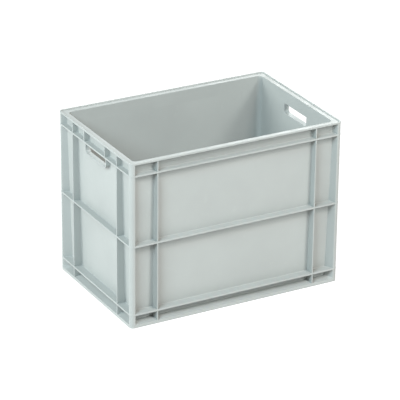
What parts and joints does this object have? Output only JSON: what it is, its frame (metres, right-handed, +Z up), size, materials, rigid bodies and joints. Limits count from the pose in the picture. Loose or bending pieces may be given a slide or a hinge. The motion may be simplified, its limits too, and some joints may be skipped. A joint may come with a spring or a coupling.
{
  "type": "stacking crate",
  "caption": "Open-top rectangular stacking crate in grey plastic, with flanged and ribbed walls, round corner beads and a hand slot in each end.",
  "frame": {"origin": "middle of the footprint, on the ground under the foot lip", "axes": "+X along the long side to the right end, +Y to the rear long side, +Z up out of the open top"},
  "size_m": [0.6, 0.4, 0.445],
  "materials": {
    "rim": "fine moulded satin",
    "wall": "fine moulded satin",
    "corner": "fine moulded satin",
    "rib": "fine moulded satin",
    "foot": "fine moulded satin",
    "floor": "fine moulded satin",
    "collar": "fine moulded satin"
  },
  "bodies": {
    "root": {"top_rim": "rim", "front_wall": "wall", "rear_wall": "wall", "left_end_wall": "wall", "right_end_wall": "wall", "corner_post_front_left": "corner", "corner_post_front_right": "corner", "corner_post_rear_right": "corner", "corner_post_rear_left": "corner", "front_rib_left": "rib", "front_rib_right": "rib", "rear_rib_left": "rib", "rear_rib_right": "rib", "left_end_rib_front": "rib", "left_end_rib_rear": "rib", "right_end_rib_front": "rib", "right_end_rib_rear": "rib", "base_frame": "foot", "floor_plate": "floor", "handle_collar_left": "collar", "handle_collar_right": "collar"}
  },
  "joints": []
}
